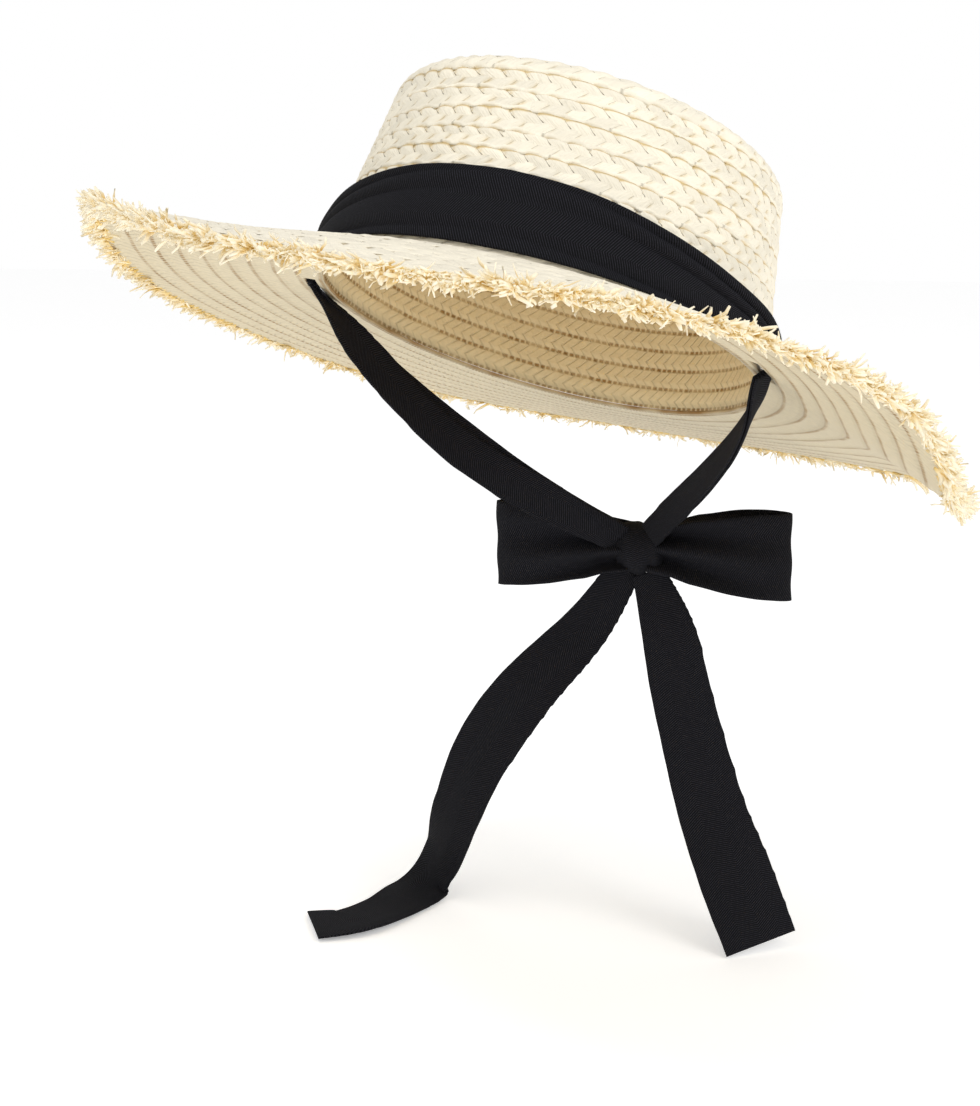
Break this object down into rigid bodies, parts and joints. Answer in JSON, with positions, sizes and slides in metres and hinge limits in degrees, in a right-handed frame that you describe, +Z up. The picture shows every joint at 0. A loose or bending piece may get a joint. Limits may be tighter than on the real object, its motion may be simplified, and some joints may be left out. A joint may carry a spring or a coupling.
{
  "type": "wide-brimmed plaited paper sun hat with ribbon tie",
  "caption": "Wide-brimmed plaited paper sun hat with a flat oval crown, wavy frayed brim and a black ribbon that runs round the front, through the brim and ties behind the neck.",
  "frame": {"origin": "middle of the head opening, where the hat sits on a head", "axes": "+Z up along the head, -Y the way the wearer looks, +X the wearer's left; the hat itself is tipped 20 degrees back and 10 degrees to the wearer's left"},
  "size_m": [0.3434, 0.3717, 0.3609],
  "materials": {
    "straw": "cream plaited paper straw, satin",
    "frayed": "loose paper straw ends, matt",
    "twill": "black cotton herringbone twill, matt"
  },
  "bodies": {
    "root": {"crown": "straw", "brim": "straw", "fringe": "frayed", "ribbon_band": "twill", "ribbon_leg_left": "twill", "ribbon_leg_right": "twill", "bow_knot": "twill", "bow_loop_left": "twill", "bow_loop_right": "twill", "ribbon_tail_left": "twill", "ribbon_tail_right": "twill"}
  },
  "joints": []
}
